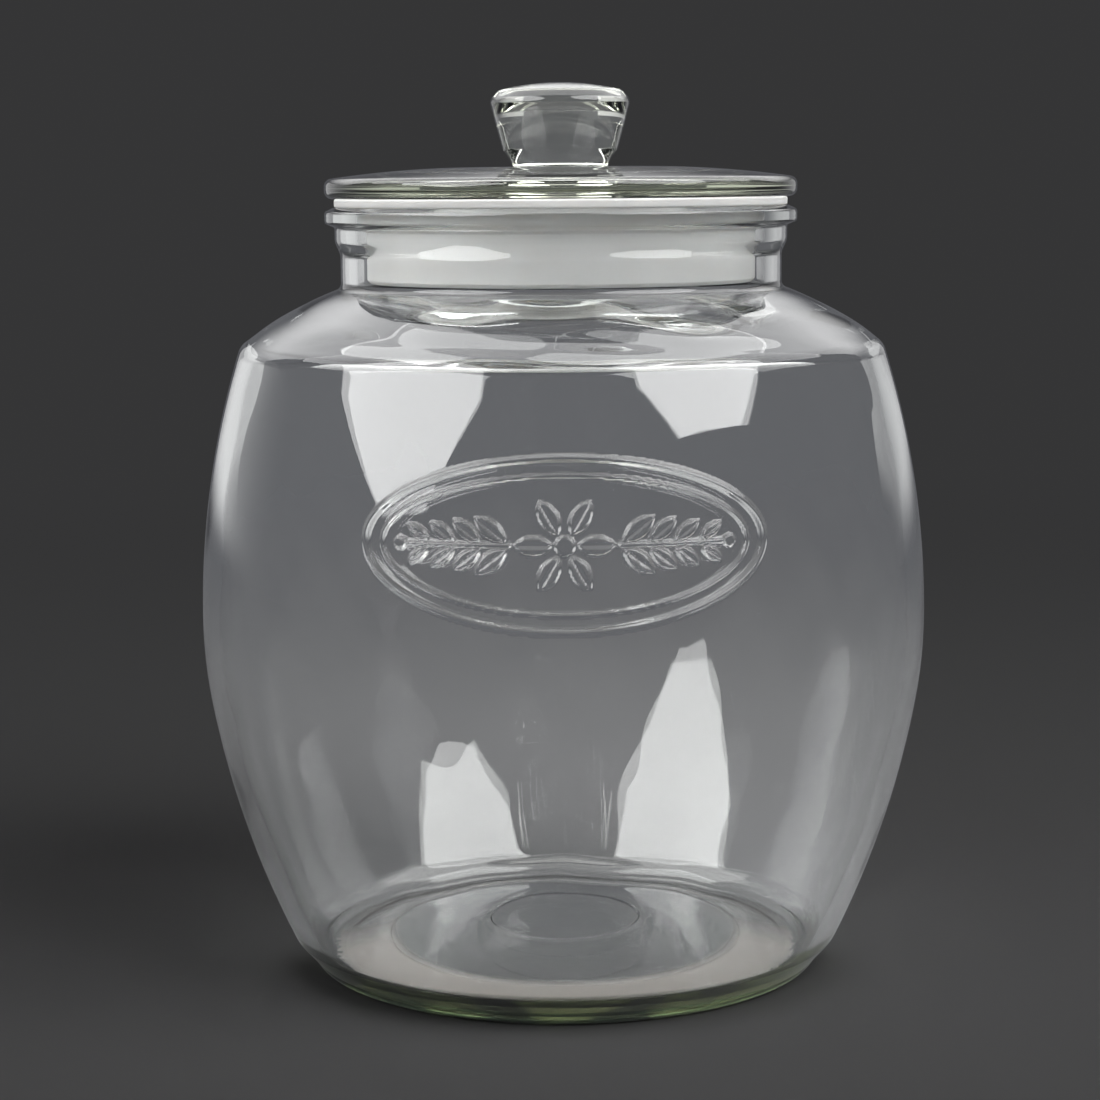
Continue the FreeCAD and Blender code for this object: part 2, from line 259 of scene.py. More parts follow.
def lathe(name, outline, columns, relief=None):
    """A closed solid of revolution whose outline runs from the axis to the axis, or in a loop."""
    place, normal = outline
    closed = place[0][0] > 1e-6
    if closed:
        place, normal = place[:-1], normal[:-1]
    turn = np.asarray(columns)
    count = len(turn)
    cos, sin = np.sin(turn), -np.cos(turn)
    body = slice(None) if closed else slice(1, -1)
    r, z = place[body, 0][:, None], place[body, 1][:, None]
    nr, nz = normal[body, 0][:, None], normal[body, 1][:, None]
    xyz = np.stack([r * cos, r * sin, np.broadcast_to(z, (len(r), count))], -1)
    out = np.stack([nr * cos, nr * sin, np.broadcast_to(nz, (len(r), count))], -1)
    if relief is not None:
        xyz, out = raised(xyz, out, relief)
    rings = len(r)
    verts = xyz.reshape(-1, 3)
    norms = out.reshape(-1, 3)
    ring = np.arange(count)
    nxt = (ring + 1) % count
    spans = rings if closed else rings - 1
    quads = []
    for i in range(spans):
        j = (i + 1) % rings
        quads.append(np.stack([i * count + ring, i * count + nxt, j * count + nxt, j * count + ring], 1))
    quads = np.vstack(quads)
    faces = [tuple(q) for q in quads.tolist()]
    if not closed:
        first, last = len(verts), len(verts) + 1
        verts = np.vstack([verts, [[0, 0, place[0][1]], [0, 0, place[-1][1]]]])
        norms = np.vstack([norms, [[0, 0, normal[0][1]], [0, 0, normal[-1][1]]]])
        top = (rings - 1) * count
        faces += [(first, int(b), int(a)) for a, b in zip(ring, nxt)]
        faces += [(last, int(top + a), int(top + b)) for a, b in zip(ring, nxt)]
    mesh = bpy.data.meshes.new(name)
    mesh.from_pydata(verts.tolist(), [], faces)
    mesh.shade_smooth()
    mesh.normals_split_custom_set_from_vertices(norms.tolist())
    obj = bpy.data.objects.new(name, mesh)
    bpy.context.scene.collection.objects.link(obj)
    return obj


def raised(xyz, out, height):
    """Move points along their normals by height(xyz), and tilt the normals to match."""
    step = 0.00003
    rise = height(xyz)
    slope = np.zeros_like(xyz)
    for k in range(3):
        offset = np.zeros(3)
        offset[k] = step
        slope[..., k] = (height(xyz + offset) - height(xyz - offset)) / (2 * step)
    along = (slope * out).sum(-1, keepdims=True)
    tilted = out - (slope - along * out)
    tilted /= np.linalg.norm(tilted, axis=-1, keepdims=True)
    return xyz + out * rise[..., None], tilted


# ---- medallion relief ----

def smooth(x):
    x = np.clip(x, 0, 1)
    return x * x * (3 - 2 * x)


def oval_distance(x, z, half_width, half_tall):
    k0 = np.sqrt((x / half_width) ** 2 + (z / half_tall) ** 2)
    k1 = np.sqrt((x / half_width**2) ** 2 + (z / half_tall**2) ** 2) + 1e-9
    return k0 * (k0 - 1) / k1


def bead(distance, half):
    return np.where(np.abs(distance) < half, 0.5 + 0.5 * np.cos(np.pi * distance / half), 0)


def leaf_inside(x, z, foot_x, foot_z, turn, length, width):
    """How far inside a leaf of two arcs each point lies; negative outside."""
    c, s = math.cos(turn), math.sin(turn)
    u = (x - foot_x) * c + (z - foot_z) * s
    v = -(x - foot_x) * s + (z - foot_z) * c
    radius = (length**2 / 4 + width**2 / 4) / width
    return radius - np.sqrt((u - length / 2) ** 2 + (np.abs(v) + radius - width / 2) ** 2), v


def medallion_height(xyz):
    x, z = xyz[..., 0], xyz[..., 2] - MEDALLION_LEVEL
    half_width, half_tall = MEDALLION_WIDTH / 2, MEDALLION_TALL / 2
    across = np.hypot(xyz[..., 0], xyz[..., 1]) - UPPER_CENTRE[0]
    outside = np.hypot(across, xyz[..., 2] - UPPER_CENTRE[1]) > UPPER_CURVE - WALL / 2
    near = (xyz[..., 1] < 0) & outside
    total = bead(oval_distance(x, z, half_width - 0.001, half_tall - 0.001), 0.0014)
    inset = 0.0046 + 0.0006
    total = np.maximum(total, 0.8 * bead(oval_distance(x, z, half_width - inset, half_tall - inset), 0.0009))
    edge = 0.0009
    total = np.maximum(total, smooth((0.0024 - np.hypot(x, z)) / edge + 0.5))
    for petal in range(6):
        turn = math.tau * petal / 6
        inside, v = leaf_inside(x, z, 0.0032 * math.cos(turn), 0.0032 * math.sin(turn), turn, 0.009, 0.0046)
        total = np.maximum(total, smooth(inside / edge + 0.5) * (1 - 0.35 * bead(v, 0.0007)))
    for side in (-1, 1):
        start = 0.0136
        end = start + 4 * 0.0064
        along = np.clip(side * x, start, end)
        total = np.maximum(total, 0.85 * bead(np.hypot(side * x - along, z), 0.001))
        total = np.maximum(total, smooth((0.0015 - np.hypot(side * x - end - 0.001, z)) / edge + 0.5))
        for pair in range(4):
            size = 0.86**pair
            across = side * (start + 0.0064 * (pair + 0.1))
            for way in (-1, 1):
                turn = math.radians(way * 38 if side > 0 else 180 - way * 38)
                inside, v = leaf_inside(x, z, across, way * 0.0009, turn, 0.0095 * size, 0.0042 * size)
                total = np.maximum(total, smooth(inside / edge + 0.5) * (1 - 0.35 * bead(v, 0.0006)))
    return np.where(near, RELIEF * total, 0)


WAVES = (
    (0.00008, 11, 90, 0.3),
    (0.00007, 17, -140, 1.1),
    (0.00006, 7, 190, 2.0),
    (0.00004, 23, 110, 4.0),
    (0.00003, 31, -230, 5.2),
)


SHOULDER_WAVES = (
    (0.00014, 2, 620, 0.4),
    (0.00013, 5, -540, 2.2),
    (0.00010, 9, 800, 3.9),
    (0.00006, 16, 380, 1.2),
)


def jar_height(xyz):
    """The medallion outside, and the slow waves of blown glass inside, mostly at the back."""
    turn = np.arctan2(xyz[..., 0], -xyz[..., 1])
    z = xyz[..., 2]
    radius = np.hypot(xyz[..., 0], xyz[..., 1])
    upper = np.hypot(radius - UPPER_CENTRE[0], z - UPPER_CENTRE[1]) < UPPER_CURVE - WALL / 2
    lower = np.hypot(radius - LOWER_CENTRE[0], z - LOWER_CENTRE[1]) < LOWER_CURVE - WALL / 2
    inside = np.where(z > WIDEST_HEIGHT, upper, lower)
    wave = sum(size * np.sin(around * turn + up * z + start) for size, around, up, start in WAVES)
    wall = smooth((z - 0.016) / 0.02) * smooth((BARREL_TOP - z) / 0.006)
    wall = wall * (0.2 + 0.8 * smooth(xyz[..., 1] / 0.05))
    fold = sum(size * np.sin(around * turn + up * z + start) for size, around, up, start in SHOULDER_WAVES)
    under = np.hypot(radius - SHOULDER_CENTRE[0], z - SHOULDER_CENTRE[1]) < SHOULDER_CURVE - WALL / 2
    crease = smooth((z - BARREL_TOP + 0.002) / 0.004) * smooth((NECK_BASE - 0.001 - z) / 0.004)
    crease = crease * np.where(under, 1.0, 0.6)
    return medallion_height(xyz) + np.where(inside, wave * wall, 0) + fold * crease


# ---- outlines ----
UPPER_CENTRE = at(WIDEST_RADIUS - UPPER_CURVE, WIDEST_HEIGHT)
BELLY_CENTRE = at(WIDEST_RADIUS - BELLY_CURVE, WIDEST_HEIGHT)
BELLY_WAY = at(math.cos(BELLY_ANGLE), -math.sin(BELLY_ANGLE))
LOWER_CENTRE = BELLY_CENTRE + BELLY_WAY * (BELLY_CURVE - LOWER_CURVE)


def base_panel(panel_edge):
    """The domed underside from its top to its edge, stepped at its two rings."""
    curve = (panel_edge[0] ** 2 + PANEL_DOME**2) / (2 * PANEL_DOME)
    centre = panel_edge * at(0, 1) + at(0, PANEL_DOME - curve)
    parts = []
    start = panel_edge
    for radius in (MOULD_RING_RADIUS, BAFFLE_RING_RADIUS):
        stop = upper_on(centre, curve, radius)
        parts.append((arc(centre, stop, start), 0.0008))
        centre = centre + at(0, RING_STEP)
        start = upper_on(centre, curve, radius - RING_STEP)
        parts.append((line(start, stop), 0.0002))
    parts.append((arc(centre, centre + at(0, curve), start), 0.0002))
    return parts[::-1]


SHOULDER_START = outer_on(UPPER_CENTRE, UPPER_CURVE, BARREL_TOP)
SHOULDER_END = at(NECK_RADIUS, NECK_BASE)
SHOULDER_CENTRE = arc_right_centre(SHOULDER_START, SHOULDER_END, SHOULDER_CURVE)


def jar_outline():
    heel_top = outer_on(LOWER_CENTRE, LOWER_CURVE, HEEL_HEIGHT)
    foot_top = at(heel_top[0] - HEEL_INSET, FOOT_HEIGHT)
    bearing_outer = at(heel_top[0] - BEARING_INSET, 0)
    bearing_inner = bearing_outer - at(BEARING_WIDTH, 0)
    panel_edge = at(bearing_inner[0] - PANEL_BEVEL, PANEL_RISE)
    underside = base_panel(panel_edge)
    belly_low = BELLY_CENTRE + BELLY_WAY * BELLY_CURVE
    widest = at(WIDEST_RADIUS, WIDEST_HEIGHT)
    collar_base = at(NECK_RADIUS, NECK_BASE + COLLAR_HEIGHT - COLLAR_TAPER)
    collar_top = at(NECK_RADIUS + COLLAR_STEP, NECK_BASE + COLLAR_HEIGHT)
    slope = (LIP_HEIGHT - LIP_SIDE) / 2
    lip_base = at(collar_top[0], LIP_TOP - LIP_HEIGHT)
    lip_low = at(LIP_RADIUS, LIP_TOP - LIP_HEIGHT + slope)
    lip_high = at(LIP_RADIUS, LIP_TOP - slope)
    lip_end = at(BORE + LIP_FLAT, LIP_TOP)
    lip_inner = at(BORE, LIP_TOP)
    bore_base = upper_on(SHOULDER_CENTRE, SHOULDER_CURVE - WALL, BORE)
    inner_corner = meeting(UPPER_CENTRE, UPPER_CURVE - WALL, SHOULDER_CENTRE, SHOULDER_CURVE - WALL)
    inner_widest = at(WIDEST_RADIUS - WALL, WIDEST_HEIGHT)
    inner_low = BELLY_CENTRE + BELLY_WAY * (BELLY_CURVE - WALL)
    floor_centre = underside[0][0][0] + at(0, BASE_THICKNESS)
    floor_edge = outer_on(LOWER_CENTRE, LOWER_CURVE - WALL, floor_centre[1] - FLOOR_DOME)
    floor_curve = (floor_edge[0] ** 2 + FLOOR_DOME**2) / (2 * FLOOR_DOME)
    parts = underside + [
        (line(panel_edge, bearing_inner), 0.0012),
        (line(bearing_inner, bearing_outer), 0.0012),
        (arc_right(bearing_outer, foot_top, np.linalg.norm(foot_top - bearing_outer)), 0.001),
        (line(foot_top, heel_top), HEEL_ROUNDING),
        (arc(LOWER_CENTRE, heel_top, belly_low), 0),
        (arc(BELLY_CENTRE, belly_low, widest), 0),
        (arc(UPPER_CENTRE, widest, SHOULDER_START), SHOULDER_CORNER),
        (arc(SHOULDER_CENTRE, SHOULDER_START, SHOULDER_END), NECK_FILLET),
        (line(SHOULDER_END, collar_base), COLLAR_ROUNDING),
        (line(collar_base, collar_top), COLLAR_ROUNDING),
        (line(collar_top, lip_base), 0.0006),
        (line(lip_base, lip_low), LIP_ROUNDING),
        (line(lip_low, lip_high), LIP_ROUNDING),
        (line(lip_high, lip_end), 0.0005),
        (line(lip_end, lip_inner), 0.0009),
        (line(lip_inner, bore_base), NECK_FILLET),
        (arc(SHOULDER_CENTRE, bore_base, inner_corner), 0.004),
        (arc(UPPER_CENTRE, inner_corner, inner_widest), 0),
        (arc(BELLY_CENTRE, inner_widest, inner_low), 0),
        (arc(LOWER_CENTRE, inner_low, floor_edge), FLOOR_CORNER),
        (arc(floor_centre - at(0, floor_curve), floor_edge, floor_centre), 0),
    ]
    outline = joined([p for p, _ in parts], [radius for _, radius in parts[:-1]])

    def longest(points):
        outside = np.linalg.norm(points - UPPER_CENTRE, axis=1) > UPPER_CURVE - WALL / 2
        level = np.abs(points[:, 1] - MEDALLION_LEVEL) < MEDALLION_TALL / 2 + 0.001
        return np.where(outside & level, 0.0005, np.where(points[:, 1] > BARREL_TOP - 0.002, 0.0012, 0.004))

    return resampled(outline, longest, math.radians(6))


def lid_outline():
    plug_end_outer = at(PLUG_RADIUS, PLUG_END)
    plug_end_inner = at(PLUG_RADIUS - PLUG_WALL, PLUG_END)
    under_edge = at(LIP_RADIUS, SEAL_TOP)
    over_edge = at(LIP_RADIUS, SEAL_TOP + LID_EDGE)
    crest = at(LID_CREST_RADIUS, SEAL_TOP + LID_EDGE + LID_CROWN)
    crown_width = LIP_RADIUS - LID_CREST_RADIUS
    crown = (crown_width**2 + LID_CROWN**2) / (2 * LID_CROWN)
    dip_width = LID_CREST_RADIUS - FOOT_RING_RADIUS
    dip = (dip_width**2 + LID_DIP**2) / (2 * LID_DIP)
    ring_base = at(FOOT_RING_RADIUS, crest[1] - LID_DIP)
    ring_top = ring_base + at(0, FOOT_RING_HEIGHT)
    waist = at(KNOB_WAIST, ring_top[1])
    kink = at(KNOB_KINK_RADIUS, ring_top[1] + KNOB_KINK_HEIGHT)
    shoulder = at(KNOB_TOP_RADIUS, ring_top[1] + KNOB_TOP_HEIGHT)
    brow = at(KNOB_TOP_RADIUS - KNOB_BROW, LID_TOP_OF_KNOB - KNOB_CROWN)
    top = at(0, LID_TOP_OF_KNOB)
    top_curve = (brow[0] ** 2 + KNOB_CROWN**2) / (2 * KNOB_CROWN)
    hollow_edge = at(PLUG_RADIUS - PLUG_WALL, SEAL_TOP)
    hollow_top = at(0, SEAL_TOP + LID_UNDER_RISE)
    hollow = (hollow_edge[0] ** 2 + LID_UNDER_RISE**2) / (2 * LID_UNDER_RISE)
    waist_curve = 2 * np.linalg.norm(kink - waist)
    parts = [
        (arc(hollow_top - at(0, hollow), hollow_top, hollow_edge), 0.002),
        (line(hollow_edge, plug_end_inner), PLUG_ROUNDING),
        (line(plug_end_inner, plug_end_outer), PLUG_ROUNDING),
        (line(plug_end_outer, at(PLUG_RADIUS, SEAL_TOP)), 0.0003),
        (line(at(PLUG_RADIUS, SEAL_TOP), under_edge), LID_EDGE_ROUNDING),
        (line(under_edge, over_edge), LID_EDGE_ROUNDING),
        (arc(crest - at(0, crown), over_edge, crest), 0),
        (arc(crest - at(0, dip), crest, ring_base), 0.0003),
        (line(ring_base, ring_top), 0.0005),
        (line(ring_top, waist), 0.0006),
        (arc_right(kink, waist, waist_curve)[::-1], 0.0008),
        (line(kink, shoulder), KNOB_ROUNDING),
        (line(shoulder, brow), KNOB_ROUNDING),
        (arc(top - at(0, top_curve), brow, top), 0),
    ]
    outline = joined([p for p, _ in parts], [radius for _, radius in parts[:-1]])
    return resampled(outline, lambda p: np.full(len(p), 0.004), math.radians(6))


def seal_outline():
    outer = RIB_RADIUS - RIB_STANDOUT
    inner = outer - SLEEVE_WALL
    rib_end = LIP_TOP - RIB_HEIGHT
    corners = [
        at(inner, SEAL_END),
        at(outer - 0.001, SEAL_END),
        at(outer, SEAL_END + 0.001),
        at(outer, rib_end - RIB_BEVEL),
        at(RIB_RADIUS, rib_end),
        at(RIB_RADIUS, LIP_TOP + AIR),
        at(SEAL_RADIUS, LIP_TOP + AIR),
        at(SEAL_RADIUS, SEAL_TOP - AIR),
        at(inner, SEAL_TOP - AIR),
    ]
    start = (corners[-1] + corners[0]) / 2
    stops = [start] + corners + [start]
    sides = [line(a, b) for a, b in zip(stops, stops[1:])]
    rounding = [0.0004, 0.0004, 0.0004, 0.0006, 0.0006, 0.0003, 0.0006, 0.0006, 0.0004]
    return resampled(joined(sides, rounding), lambda p: np.full(len(p), 0.003), math.radians(10))


# ---- materials ----
GLASS_IOR = 1.5
SMEAR_SCALE = 30
SMEAR_FROM, SMEAR_TO = 0.56, 0.75
SMEAR_ROUGHNESS = 0.03
JAR_TINT, JAR_DENSITY = (0.60, 0.80, 0.62), 6.5
LID_TINT, LID_DENSITY = (0.72, 0.78, 0.55), 9.0

# The foot's pale stipple and heel. The pale stipple is strong in the front half only, as painted light, and the
# heel is painted shade there only, because that is all the photo shows of it.
# Where the front half begins, for the painted light on the stipple and the painted shade on the heel.
PAINTED_FRONT_FROM, PAINTED_FRONT_SOFT = 0.012, -0.024
STIPPLE_INNER = 0.0455
STIPPLE_OUTER = 0.0702
STIPPLE_TOP = 0.0035
STIPPLE_PALE = (0.95, 0.87, 0.83, 1)
STIPPLE_GRAIN = 420
STIPPLE_JAG = 0.008
# The pale share in the front half is painted light; the share behind is the stipple itself.
STIPPLE_PAINTED_LIGHT_FRONT, STIPPLE_SHARE_BEHIND = 0.6, 0.15
# The heel band is painted shade: near-black, with lighter olive patches of painted light, in the front half only.
HEEL_INNER = 0.0665
HEEL_TOP = 0.0102
HEEL_PAINTED_SHADE_DARK = (0.004, 0.006, 0.003, 1)
HEEL_PAINTED_SHADE_GREEN = (0.05, 0.07, 0.02, 1)
HEEL_SHADE_PATCH_SCALE = 45
HEEL_SHADE_PATCH_FROM, HEEL_SHADE_PATCH_SOFT = 0.48, 0.12


def new_material(name):
    mat = bpy.data.materials.new(name)
    mat.use_nodes = True
    nodes, links = mat.node_tree.nodes, mat.node_tree.links
    bsdf = nodes["Principled BSDF"]
    return mat, nodes, links, bsdf


def maths(nodes, links, operation, *values):
    node = nodes.new("ShaderNodeMath")
    node.operation = operation
    for socket, value in zip(node.inputs, values):
        if isinstance(value, (int, float)):
            socket.default_value = value
        else:
            links.new(value, socket)
    return node.outputs["Value"]


def past(nodes, links, value, edge, soft):
    """1 once value is past edge by soft, 0 before edge; a negative soft turns it round."""
    node = nodes.new("ShaderNodeMapRange")
    node.inputs["From Min"].default_value = edge
    node.inputs["From Max"].default_value = edge + soft
    links.new(value, node.inputs["Value"])
    return node.outputs["Result"]


def noise(nodes, links, place, scale, detail):
    node = nodes.new("ShaderNodeTexNoise")
    node.inputs["Scale"].default_value = scale
    node.inputs["Detail"].default_value = detail
    links.new(place.outputs["Object"], node.inputs["Vector"])
    return node.outputs["Fac"]


def glass_material(name, tint, density):
    """Clear glass with a few faint smears, coloured by the way light has gone through it."""
    mat, nodes, links, bsdf = new_material(name)
    bsdf.inputs["Base Color"].default_value = (1, 1, 1, 1)
    bsdf.inputs["Transmission Weight"].default_value = 1
    bsdf.inputs["IOR"].default_value = GLASS_IOR
    place = nodes.new("ShaderNodeTexCoord")
    rough = nodes.new("ShaderNodeMapRange")
    rough.inputs["From Min"].default_value = SMEAR_FROM
    rough.inputs["From Max"].default_value = SMEAR_TO
    rough.inputs["To Min"].default_value = 0.0
    rough.inputs["To Max"].default_value = SMEAR_ROUGHNESS
    links.new(noise(nodes, links, place, SMEAR_SCALE, 4), rough.inputs["Value"])
    links.new(rough.outputs["Result"], bsdf.inputs["Roughness"])
    absorb = nodes.new("ShaderNodeVolumeAbsorption")
    absorb.inputs["Color"].default_value = (*tint, 1)
    absorb.inputs["Density"].default_value = density
    links.new(absorb.outputs["Volume"], nodes["Material Output"].inputs["Volume"])
    return mat


def foot_stipple_with_painted_light_and_shade(mat):
    """The pale stippled ring under the jar, with its ragged outer edge, raised in the front half as painted light,
    and round it a heel of painted shade, near-black with dark olive patches.
    """
    nodes, links = mat.node_tree.nodes, mat.node_tree.links
    bsdf = nodes["Principled BSDF"]
    place = nodes.new("ShaderNodeTexCoord")
    flat = nodes.new("ShaderNodeVectorMath")
    flat.operation = "MULTIPLY"
    flat.inputs[1].default_value = (1, 1, 0)
    links.new(place.outputs["Object"], flat.inputs[0])
    length = nodes.new("ShaderNodeVectorMath")
    length.operation = "LENGTH"
    links.new(flat.outputs["Vector"], length.inputs[0])
    radius = length.outputs["Value"]
    split = nodes.new("ShaderNodeSeparateXYZ")
    links.new(place.outputs["Object"], split.inputs["Vector"])
    height = split.outputs["Z"]
    # Front half mask: where the painted light and the painted shade go.
    front = past(nodes, links, split.outputs["Y"], PAINTED_FRONT_FROM, PAINTED_FRONT_SOFT)
    ragged = maths(nodes, links, "MULTIPLY_ADD", noise(nodes, links, place, STIPPLE_GRAIN, 2), STIPPLE_JAG, radius)
    ring = maths(
        nodes,
        links,
        "MULTIPLY",
        past(nodes, links, radius, STIPPLE_INNER, 0.004),
        past(nodes, links, ragged, STIPPLE_OUTER, -0.0006),
    )
    ring = maths(nodes, links, "MULTIPLY", ring, past(nodes, links, height, STIPPLE_TOP, -0.0002))
    # Mask of the painted shade on the heel band, front half only.
    heel = maths(
        nodes,
        links,
        "MULTIPLY",
        past(nodes, links, radius, HEEL_INNER, 0.0006),
        past(nodes, links, height, HEEL_TOP, -0.0016),
    )
    tint = nodes.new("ShaderNodeMix")
    tint.data_type = "RGBA"
    heel = maths(nodes, links, "MULTIPLY", heel, front)
    tint.inputs["A"].default_value = (1, 1, 1, 1)
    # Patches where the heel's painted shade turns from near-black to dark olive.
    heel_shade_patches = past(nodes, links, noise(nodes, links, place, HEEL_SHADE_PATCH_SCALE, 2), HEEL_SHADE_PATCH_FROM, HEEL_SHADE_PATCH_SOFT)
    heel_shade_colour = nodes.new("ShaderNodeMix")
    heel_shade_colour.data_type = "RGBA"
    heel_shade_colour.inputs["A"].default_value = HEEL_PAINTED_SHADE_DARK
    heel_shade_colour.inputs["B"].default_value = HEEL_PAINTED_SHADE_GREEN
    links.new(heel_shade_patches, heel_shade_colour.inputs["Factor"])
    links.new(heel_shade_colour.outputs["Result"], tint.inputs["B"])
    links.new(heel, tint.inputs["Factor"])
    links.new(tint.outputs["Result"], bsdf.inputs["Base Color"])
    pale = nodes.new("ShaderNodeBsdfDiffuse")
    pale.inputs["Color"].default_value = STIPPLE_PALE
    mix = nodes.new("ShaderNodeMixShader")
    # The pale share is raised in the front half as painted light.
    share = maths(nodes, links, "MULTIPLY_ADD", front, STIPPLE_PAINTED_LIGHT_FRONT, STIPPLE_SHARE_BEHIND)
    links.new(maths(nodes, links, "MULTIPLY", ring, share), mix.inputs["Fac"])
    links.new(bsdf.outputs["BSDF"], mix.inputs[1])
    links.new(pale.outputs["BSDF"], mix.inputs[2])
    links.new(mix.outputs["Shader"], nodes["Material Output"].inputs["Surface"])


def seal_material():
    mat, nodes, links, bsdf = new_material("seal_white")
    place = nodes.new("ShaderNodeTexCoord")
    ramp = nodes.new("ShaderNodeValToRGB")
    ramp.color_ramp.elements[0].position = 0.35
    ramp.color_ramp.elements[0].color = (0.82, 0.815, 0.80, 1)
    ramp.color_ramp.elements[1].position = 0.7
    ramp.color_ramp.elements[1].color = (0.88, 0.88, 0.87, 1)
    links.new(noise(nodes, links, place, 60, 3), ramp.inputs["Fac"])
    links.new(ramp.outputs["Color"], bsdf.inputs["Base Color"])
    bsdf.inputs["Roughness"].default_value = 0.7
    bsdf.inputs["Specular IOR Level"].default_value = 0.2
    bsdf.inputs["Subsurface Weight"].default_value = 0.4
    bsdf.inputs["Subsurface Radius"].default_value = (1.0, 0.95, 0.9)
    bsdf.inputs["Subsurface Scale"].default_value = 0.004
    return mat


# ---- pieces ----
FRONT_SPAN = math.radians(35)
front = np.linspace(-FRONT_SPAN, FRONT_SPAN, 243)
rest = np.linspace(FRONT_SPAN, math.tau - FRONT_SPAN, 134)[1:-1]
jar = lathe("jar_glass", jar_outline(), np.concatenate([front, rest]), jar_height)
lid = lathe("lid_glass", lid_outline(), np.linspace(0, math.tau, 241)[:-1])
seal = lathe("seal_ring", seal_outline(), np.linspace(0, math.tau, 181)[:-1])
jar.data.materials.append(glass_material("jar_glass", JAR_TINT, JAR_DENSITY))
foot_stipple_with_painted_light_and_shade(jar.data.materials[0])
lid.data.materials.append(glass_material("lid_glass", LID_TINT, LID_DENSITY))
seal.data.materials.append(seal_material())
for piece, node, slot in ((jar, "jar", "clear_glass"), (lid, "lid", "clear_glass"), (seal, "seal", "white_seal")):
    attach(piece, "root")
    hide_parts(node)


# ---- stage ----

def look_matrix(place, target, roll=0.0):
    """Camera or lamp matrix at place facing target; a positive roll turns it clockwise from behind."""
    forward = (Vector(target) - Vector(place)).normalized()
    right = forward.cross(Vector((0, 0, 1))).normalized()
    up = right.cross(forward)
    right, up = (
        right * math.cos(roll) - up * math.sin(roll),
        up * math.cos(roll) + right * math.sin(roll),
    )
    turn = Matrix((right, up, -forward)).transposed().to_4x4()
    return Matrix.Translation(place) @ turn


def polar(azimuth, elevation, distance, centre=(0, 0, 0.11)):
    a, e = math.radians(azimuth), math.radians(elevation)
    way = Vector((math.sin(a) * math.cos(e), -math.cos(a) * math.cos(e), math.sin(e)))
    return Vector(centre) + way * distance


def softbox(name, place, target, width, height, radiance, matt, turn=0.0, clear=True, **shape):
    """A lamp facing target, as two lamps at one place: one seen in glass, and one for matt surfaces.

    radiance is its brightness in glass, and matt the share of it that matt surfaces get. Where clear
    is off, the glass only mirrors it and doesn't let it through.
    """
    for use, share in (("glass", 1.0), ("matt", matt)):
        if share == 0:
            continue
        lamp = bpy.data.lights.new(name + "_" + use, "AREA")
        lamp.shape = "RECTANGLE"
        lamp.size, lamp.size_y = width, height
        lamp.energy = radiance * share * width * height * math.pi
        obj = bpy.data.objects.new(name + "_" + use, lamp)
        bpy.context.scene.collection.objects.link(obj)
        obj.matrix_world = look_matrix(place, target, turn)
        obj.visible_camera = False
        obj.visible_diffuse = use == "matt"
        obj.visible_glossy = use == "glass"
        obj.visible_transmission = use == "glass" and clear
        if shape and use == "glass":
            shaped(lamp, **shape)


def shaped(lamp, cut=0.0, side=None, top=None):
    """Cut a lamp's corners off, and fade it from full to dark between two shares of its width or height."""
    lamp.use_nodes = True
    nodes, links = lamp.node_tree.nodes, lamp.node_tree.links
    spot = nodes.new("ShaderNodeNewGeometry")
    share = nodes.new("ShaderNodeSeparateXYZ")
    links.new(spot.outputs["Parametric"], share.inputs["Vector"])
    across, up = share.outputs["X"], share.outputs["Y"]
    strength = 1.0
    if cut:
        off = [
            maths(nodes, links, "ABSOLUTE", maths(nodes, links, "SUBTRACT", value, 0.5))
            for value in (across, up)
        ]
        strength = past(nodes, links, maths(nodes, links, "ADD", *off), 1 - cut, -0.02)
    for value, ends in ((across, side), (up, top)):
        if ends:
            fade = nodes.new("ShaderNodeMapRange")
            fade.interpolation_type = "SMOOTHSTEP"
            fade.inputs["From Min"].default_value = ends[1]
            fade.inputs["From Max"].default_value = ends[0]
            links.new(value, fade.inputs["Value"])
            strength = maths(nodes, links, "MULTIPLY", strength, fade.outputs["Result"])
    links.new(strength, nodes["Emission"].inputs["Strength"])


def upright(azimuth, distance, height):
    """A place at this azimuth and height, and the point on the axis level with it."""
    a = math.radians(azimuth)
    return Vector((math.sin(a) * distance, -math.cos(a) * distance, height)), Vector((0, 0, height))


EYE = Vector((-0.0036, -0.75, 0.218))
PITCH = math.radians(7.81)
camera_data = bpy.data.cameras.new("camera")
camera_data.lens = 88.79
camera_data.sensor_width = 36
camera = bpy.data.objects.new("camera", camera_data)
bpy.context.scene.collection.objects.link(camera)
camera.matrix_world = look_matrix(EYE, EYE + Vector((0, math.cos(PITCH), -math.sin(PITCH))), math.radians(0.42))
bpy.context.scene.camera = camera

MIDDLE = Vector((0, 0, 0.11))
BOX_RADIANCE = 7.0
softbox("box_left", polar(-57, 33, 1.3), MIDDLE, 1.15, 1.0, BOX_RADIANCE, 0.55, math.radians(32), cut=0.22)
softbox("box_right", polar(52, 40, 1.3), MIDDLE, 1.05, 0.95, BOX_RADIANCE, 0.8, math.radians(4), cut=0.22)
softbox("rim_left", *upright(-131, 1.0, 0.21), 1.0, 0.38, 0.6, 1.0, side=(0.2, 1.1), top=(0.25, 0.0))
softbox("rim_right", *upright(134, 1.0, 0.21), 0.9, 0.38, 0.45, 1.0, side=(0.8, 0.3), top=(0.25, 0.0))
softbox("back", Vector((0, 1.2, 0.75)), MIDDLE, 3.4, 1.45, 2.4, 0, clear=False, top=(0.65, 0.24))
softbox("overhead", Vector((0, 0.2, 1.15)), Vector((0, 0.2001, 0)), 3.6, 1.0, 3.0, 0.16)

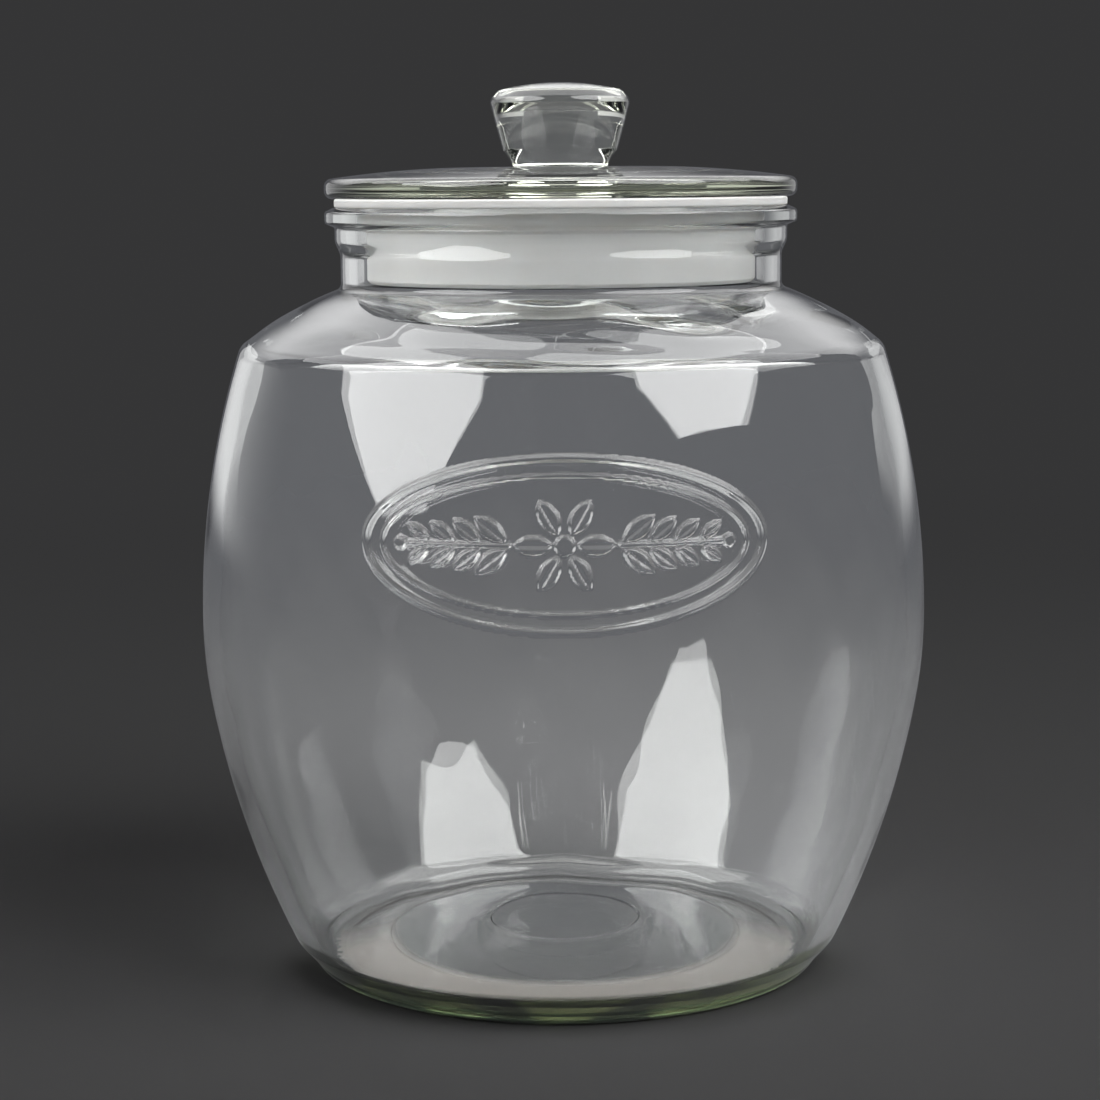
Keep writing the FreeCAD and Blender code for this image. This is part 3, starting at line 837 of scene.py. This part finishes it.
FAR_DIRECT = (0.036, 0.036, 0.037, 1)
FAR_THROUGH = (0.120, 0.122, 0.133, 1)
NEAR_FLOOR = (0.33, 0.33, 0.34, 1)
NEAR_FLOOR_SHOWN = (0.078, 0.078, 0.079, 1)
MATT_FILL = (0.15, 0.15, 0.15, 1)
FLOOR_RADIUS = 6
FLOOR_CORNERS = 96
FADE_FROM, FADE_TO = 0.10, 1.3


def far_colour(nodes, links):
    """The dark studio background, a little lighter where it is seen through or in the glass."""
    path = nodes.new("ShaderNodeLightPath")
    either = maths(nodes, links, "MAXIMUM", path.outputs["Is Transmission Ray"], path.outputs["Is Glossy Ray"])
    mix = nodes.new("ShaderNodeMix")
    mix.data_type = "RGBA"
    links.new(either, mix.inputs["Factor"])
    mix.inputs["A"].default_value = FAR_DIRECT
    mix.inputs["B"].default_value = FAR_THROUGH
    return mix.outputs["Result"], path


floor_mesh = bpy.data.meshes.new("floor")
turns = [math.tau * i / FLOOR_CORNERS for i in range(FLOOR_CORNERS)]
ring = [(FLOOR_RADIUS * math.cos(turn), FLOOR_RADIUS * math.sin(turn), 0) for turn in turns]
floor_mesh.from_pydata(ring, [], [tuple(range(FLOOR_CORNERS))])
floor = bpy.data.objects.new("floor", floor_mesh)
bpy.context.scene.collection.objects.link(floor)
mat, nodes, links, bsdf = new_material("floor")
place = nodes.new("ShaderNodeTexCoord")
length = nodes.new("ShaderNodeVectorMath")
length.operation = "LENGTH"
links.new(place.outputs["Object"], length.inputs[0])
spread = nodes.new("ShaderNodeMapRange")
spread.interpolation_type = "SMOOTHSTEP"
spread.inputs["From Min"].default_value = FADE_FROM
spread.inputs["From Max"].default_value = FADE_TO
links.new(length.outputs["Value"], spread.inputs["Value"])
shown = nodes.new("ShaderNodeMix")
shown.data_type = "RGBA"
shown.inputs["A"].default_value = NEAR_FLOOR
shown.inputs["B"].default_value = NEAR_FLOOR_SHOWN
links.new(shown.outputs["Result"], bsdf.inputs["Base Color"])
bsdf.inputs["Roughness"].default_value = 0.9
bsdf.inputs["Specular IOR Level"].default_value = 0.0
glow = nodes.new("ShaderNodeEmission")
far, path = far_colour(nodes, links)
links.new(path.outputs["Is Camera Ray"], shown.inputs["Factor"])
links.new(far, glow.inputs["Color"])
blend = nodes.new("ShaderNodeMixShader")
links.new(spread.outputs["Result"], blend.inputs["Fac"])
links.new(bsdf.outputs["BSDF"], blend.inputs[1])
links.new(glow.outputs["Emission"], blend.inputs[2])
links.new(blend.outputs["Shader"], nodes["Material Output"].inputs["Surface"])
floor.data.materials.append(mat)

world = bpy.data.worlds.new("studio")
bpy.context.scene.world = world
world.use_nodes = True
wn, wl = world.node_tree.nodes, world.node_tree.links
background = wn["Background"]
far, path = far_colour(wn, wl)
fill = wn.new("ShaderNodeMix")
fill.data_type = "RGBA"
wl.new(path.outputs["Is Diffuse Ray"], fill.inputs["Factor"])
wl.new(far, fill.inputs["A"])
fill.inputs["B"].default_value = MATT_FILL
wl.new(fill.outputs["Result"], background.inputs["Color"])

cycles = bpy.context.scene.cycles
cycles.max_bounces = 8
cycles.transmission_bounces = 8
cycles.glossy_bounces = 5
bpy.context.scene.view_settings.view_transform = "Standard"
